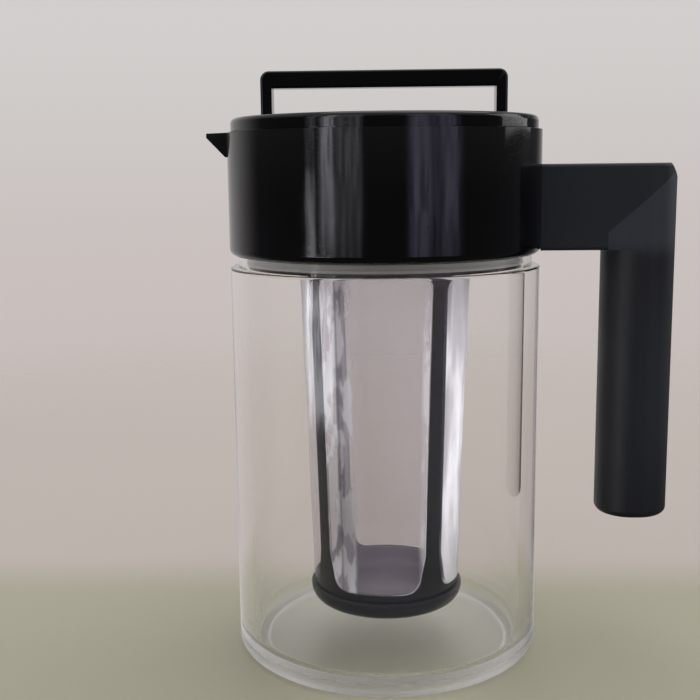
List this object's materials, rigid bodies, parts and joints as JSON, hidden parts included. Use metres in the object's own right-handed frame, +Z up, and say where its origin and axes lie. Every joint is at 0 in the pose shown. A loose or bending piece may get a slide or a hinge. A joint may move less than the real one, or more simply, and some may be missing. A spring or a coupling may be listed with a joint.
{
  "type": "cold brew coffee maker",
  "caption": "Clear straight-walled pitcher with a black collar, spout and side handle, a lid with a folding bail, and a long mesh filter that hangs from the lid.",
  "frame": {"origin": "centre of the ring that the pitcher stands on, on the table", "axes": "+Z up, +X towards the handle, -X towards the spout, +Y away from the viewer"},
  "size_m": [0.1617, 0.1078, 0.203],
  "materials": {
    "clear_body": "clear, polished",
    "gloss_black": "glossy black moulding",
    "matte_dark": "fine matte texture",
    "soft_grip": "soft matte silicone",
    "seal": "grey silicone",
    "filter_black": "satin black moulding",
    "mesh": "fine woven filament mesh",
    "steel": "turned stainless steel",
    "brass": "turned brass"
  },
  "bodies": {
    "pitcher_group": {"pitcher_body": "clear_body", "neck_gasket": "seal", "handle_collar": "gloss_black", "handle_inserts": "brass", "handle_arm": "matte_dark", "grip_sleeve": "soft_grip", "handle_screws": "steel"},
    "plug_group": {"lid_plug": "gloss_black", "plug_gasket": "seal", "flange_gasket": "seal"},
    "cap_group": {"lid_cap": "gloss_black", "cap_liner": "gloss_black", "bail_pins": "steel"},
    "bail_group": {"bail_handle": "gloss_black"},
    "filter_group": {"filter_ring": "filter_black", "filter_cage": "filter_black", "filter_gasket": "seal", "filter_mesh": "mesh"}
  },
  "joints": [
    {"name": "lid_lift", "type": "slide", "parent": "pitcher_group", "child": "plug_group", "axis": [0, 0, 1], "range_m": [0, 0.18]},
    {"name": "lid_turn", "type": "hinge", "parent": "plug_group", "child": "cap_group", "pos_m": [0, 0, 0.1785], "axis": [0, 0, 1], "range_deg": [0, 90]},
    {"name": "bail_swing", "type": "hinge", "parent": "cap_group", "child": "bail_group", "pos_m": [0, 0, 0.183], "axis": [1, 0, 0], "range_deg": [-90, 90]},
    {"name": "filter_twist", "type": "hinge", "parent": "plug_group", "child": "filter_group", "pos_m": [0, 0, 0.142], "axis": [0, 0, 1], "range_deg": [-60, 0]}
  ]
}
